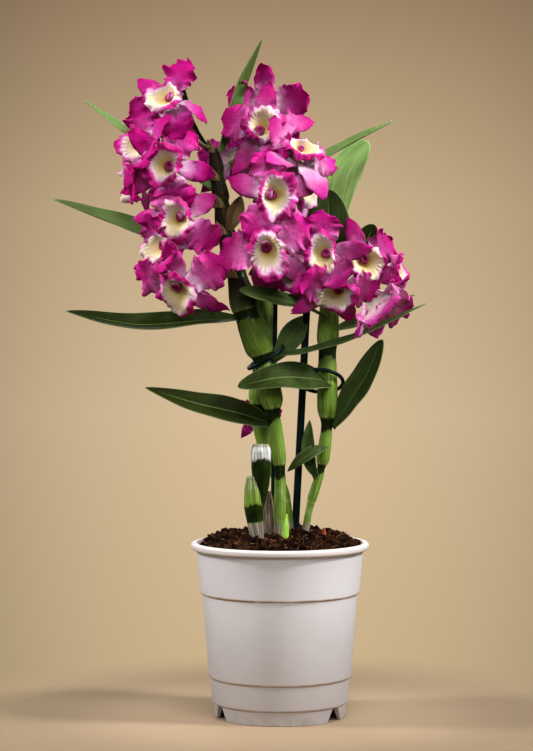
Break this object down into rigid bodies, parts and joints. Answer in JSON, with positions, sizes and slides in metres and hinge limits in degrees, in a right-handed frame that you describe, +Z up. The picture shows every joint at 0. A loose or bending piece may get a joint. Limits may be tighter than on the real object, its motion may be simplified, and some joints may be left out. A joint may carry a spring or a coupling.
{
  "type": "potted dendrobium orchid",
  "caption": "Dendrobium orchid with tall jointed canes, magenta blooms with cream trumpet lips and strap leaves, staked in a tapered white nursery pot.",
  "frame": {"origin": "middle of the pot's base, on the surface that it stands on", "axes": "+Z up along the pot's axis, -Y to the front, where most blooms look, +X to the viewer's right"},
  "size_m": [0.2495, 0.12, 0.4562],
  "materials": {
    "pot": "injection-moulded polypropylene, satin, soiled in the grooves",
    "mix": "loose bark and coconut fibre, dry and dull",
    "stake": "satin dark green",
    "cane": "green stem in pale ribbed sheaths with dark joints",
    "husk": "dry brown papery sheath",
    "shoot": "fresh lime green, satin",
    "bud": "reddish brown, satin",
    "leaf": "waxy green, satin, paler beneath",
    "petal": "soft petal, magenta to pale pink, cream lip"
  },
  "bodies": {
    "root": {"pot": "pot", "potting_mix": "mix", "stake_thick": "stake", "stake_thin": "stake", "ring_left": "stake", "ring_right": "stake", "cane_left": "cane", "cane_back": "cane", "cane_right": "cane", "cut_cane": "cane", "dead_stub": "husk", "new_shoot": "shoot", "red_bud": "bud", "leaf_01": "leaf", "leaf_02": "leaf", "leaf_03": "leaf", "leaf_04": "leaf", "leaf_05": "leaf", "leaf_06": "leaf", "leaf_07": "leaf", "leaf_08": "leaf", "leaf_09": "leaf", "leaf_10": "leaf", "leaf_11": "leaf", "leaf_12": "leaf", "leaf_13": "leaf", "leaf_14": "leaf", "leaf_15": "leaf", "leaf_16": "leaf", "leaf_17": "leaf", "leaf_18": "leaf", "bloom_01": "petal", "bloom_02": "petal", "bloom_03": "petal", "bloom_04": "petal", "bloom_05": "petal", "bloom_06": "petal", "bloom_07": "petal", "bloom_08": "petal", "bloom_09": "petal", "bloom_10": "petal", "bloom_11": "petal", "bloom_12": "petal", "bloom_13": "petal", "bloom_14": "petal", "bloom_15": "petal", "bloom_16": "petal", "bloom_17": "petal", "bloom_18": "petal", "bloom_19": "petal", "bloom_20": "petal", "bloom_21": "petal", "bloom_22": "petal", "bloom_23": "petal"}
  },
  "joints": []
}
